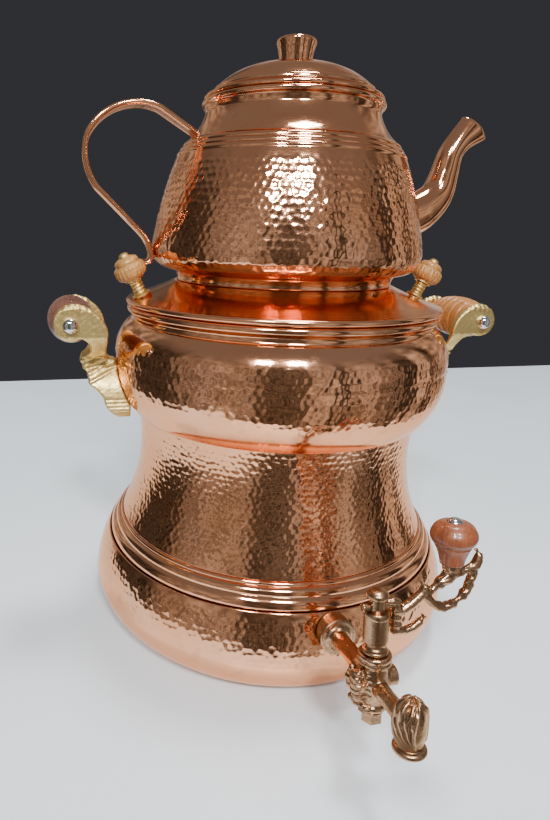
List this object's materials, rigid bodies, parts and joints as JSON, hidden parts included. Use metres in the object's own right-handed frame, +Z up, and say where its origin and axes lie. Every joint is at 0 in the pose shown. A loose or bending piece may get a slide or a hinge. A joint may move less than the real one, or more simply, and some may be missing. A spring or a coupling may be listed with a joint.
{
  "type": "stovetop samovar",
  "caption": "Two-tier hammered copper water boiler for a stove, with a lift-off lid that carries a teapot, two side handles and a plug tap with a lever.",
  "frame": {"origin": "centre of the flat face that the vessel rests on", "axes": "+Z up, the tap points to -Y, the teapot's spout to +X and its strap handle to -X, the side handles are at +X and -X"},
  "size_m": [0.3328, 0.3706, 0.4094],
  "materials": {
    "copper": "polished, hammered copper",
    "copper_pipe": "polished copper tube",
    "yellow_brass": "polished yellow brass",
    "aged_brass": "aged brown brass casting",
    "grip_wood": "turned and varnished",
    "knob_wood": "turned and varnished",
    "tap_knob_wood": "turned and waxed",
    "chromed_steel": "bright",
    "gasket": "matt black"
  },
  "bodies": {
    "vessel": {"base_pan": "copper", "base_floor": "copper", "bead_ring": "copper", "waist_shell": "copper", "bowl": "copper", "handle_bracket_left": "yellow_brass", "handle_bracket_right": "yellow_brass", "handle_grip_left": "grip_wood", "handle_grip_right": "grip_wood", "handle_rod_left": "yellow_brass", "handle_rod_right": "yellow_brass", "handle_washers": "yellow_brass", "dome_nuts": "chromed_steel", "bracket_screws": "yellow_brass", "tap_escutcheon": "aged_brass", "tap_gasket_outer": "gasket", "tap_wedge_washer": "gasket", "tap_lock_nut": "aged_brass", "tap_pipe": "copper_pipe", "tap_body": "aged_brass", "tap_nozzle": "aged_brass"},
    "collar": {"collar_lid": "copper", "collar_flange": "copper", "lid_knob_plate_left": "copper", "lid_knob_plate_right": "copper", "lid_knob_stem_left": "yellow_brass", "lid_knob_stem_right": "yellow_brass", "lid_knob_left": "knob_wood", "lid_knob_right": "knob_wood", "lid_knob_caps": "yellow_brass", "lid_knob_nuts": "yellow_brass"},
    "teapot": {"teapot_foot": "copper", "teapot_base": "copper", "teapot_body": "copper", "teapot_spout": "copper", "teapot_handle": "copper"},
    "cover": {"teapot_lid": "copper", "teapot_lid_flange": "copper", "teapot_lid_knob": "copper", "teapot_lid_screw": "yellow_brass"},
    "key": {"tap_key": "aged_brass", "tap_spring_washer": "aged_brass", "tap_key_washer": "aged_brass", "tap_key_nut": "aged_brass", "tap_lever": "aged_brass", "lever_pin": "aged_brass", "tap_knob": "tap_knob_wood", "tap_knob_screw": "chromed_steel"}
  },
  "joints": [
    {"name": "collar_lift", "type": "slide", "parent": "vessel", "child": "collar", "axis": [0, 0, 1], "range_m": [0, 0.04]},
    {"name": "teapot_lift", "type": "slide", "parent": "collar", "child": "teapot", "axis": [0, 0, 1], "range_m": [0, 0.04]},
    {"name": "cover_lift", "type": "slide", "parent": "teapot", "child": "cover", "axis": [0, 0, 1], "range_m": [0, 0.03]},
    {"name": "key_turn", "type": "hinge", "parent": "vessel", "child": "key", "pos_m": [0, -0.184, 0.0626], "axis": [0, 0.1392, 0.9903], "range_deg": [-90, 90]}
  ]
}
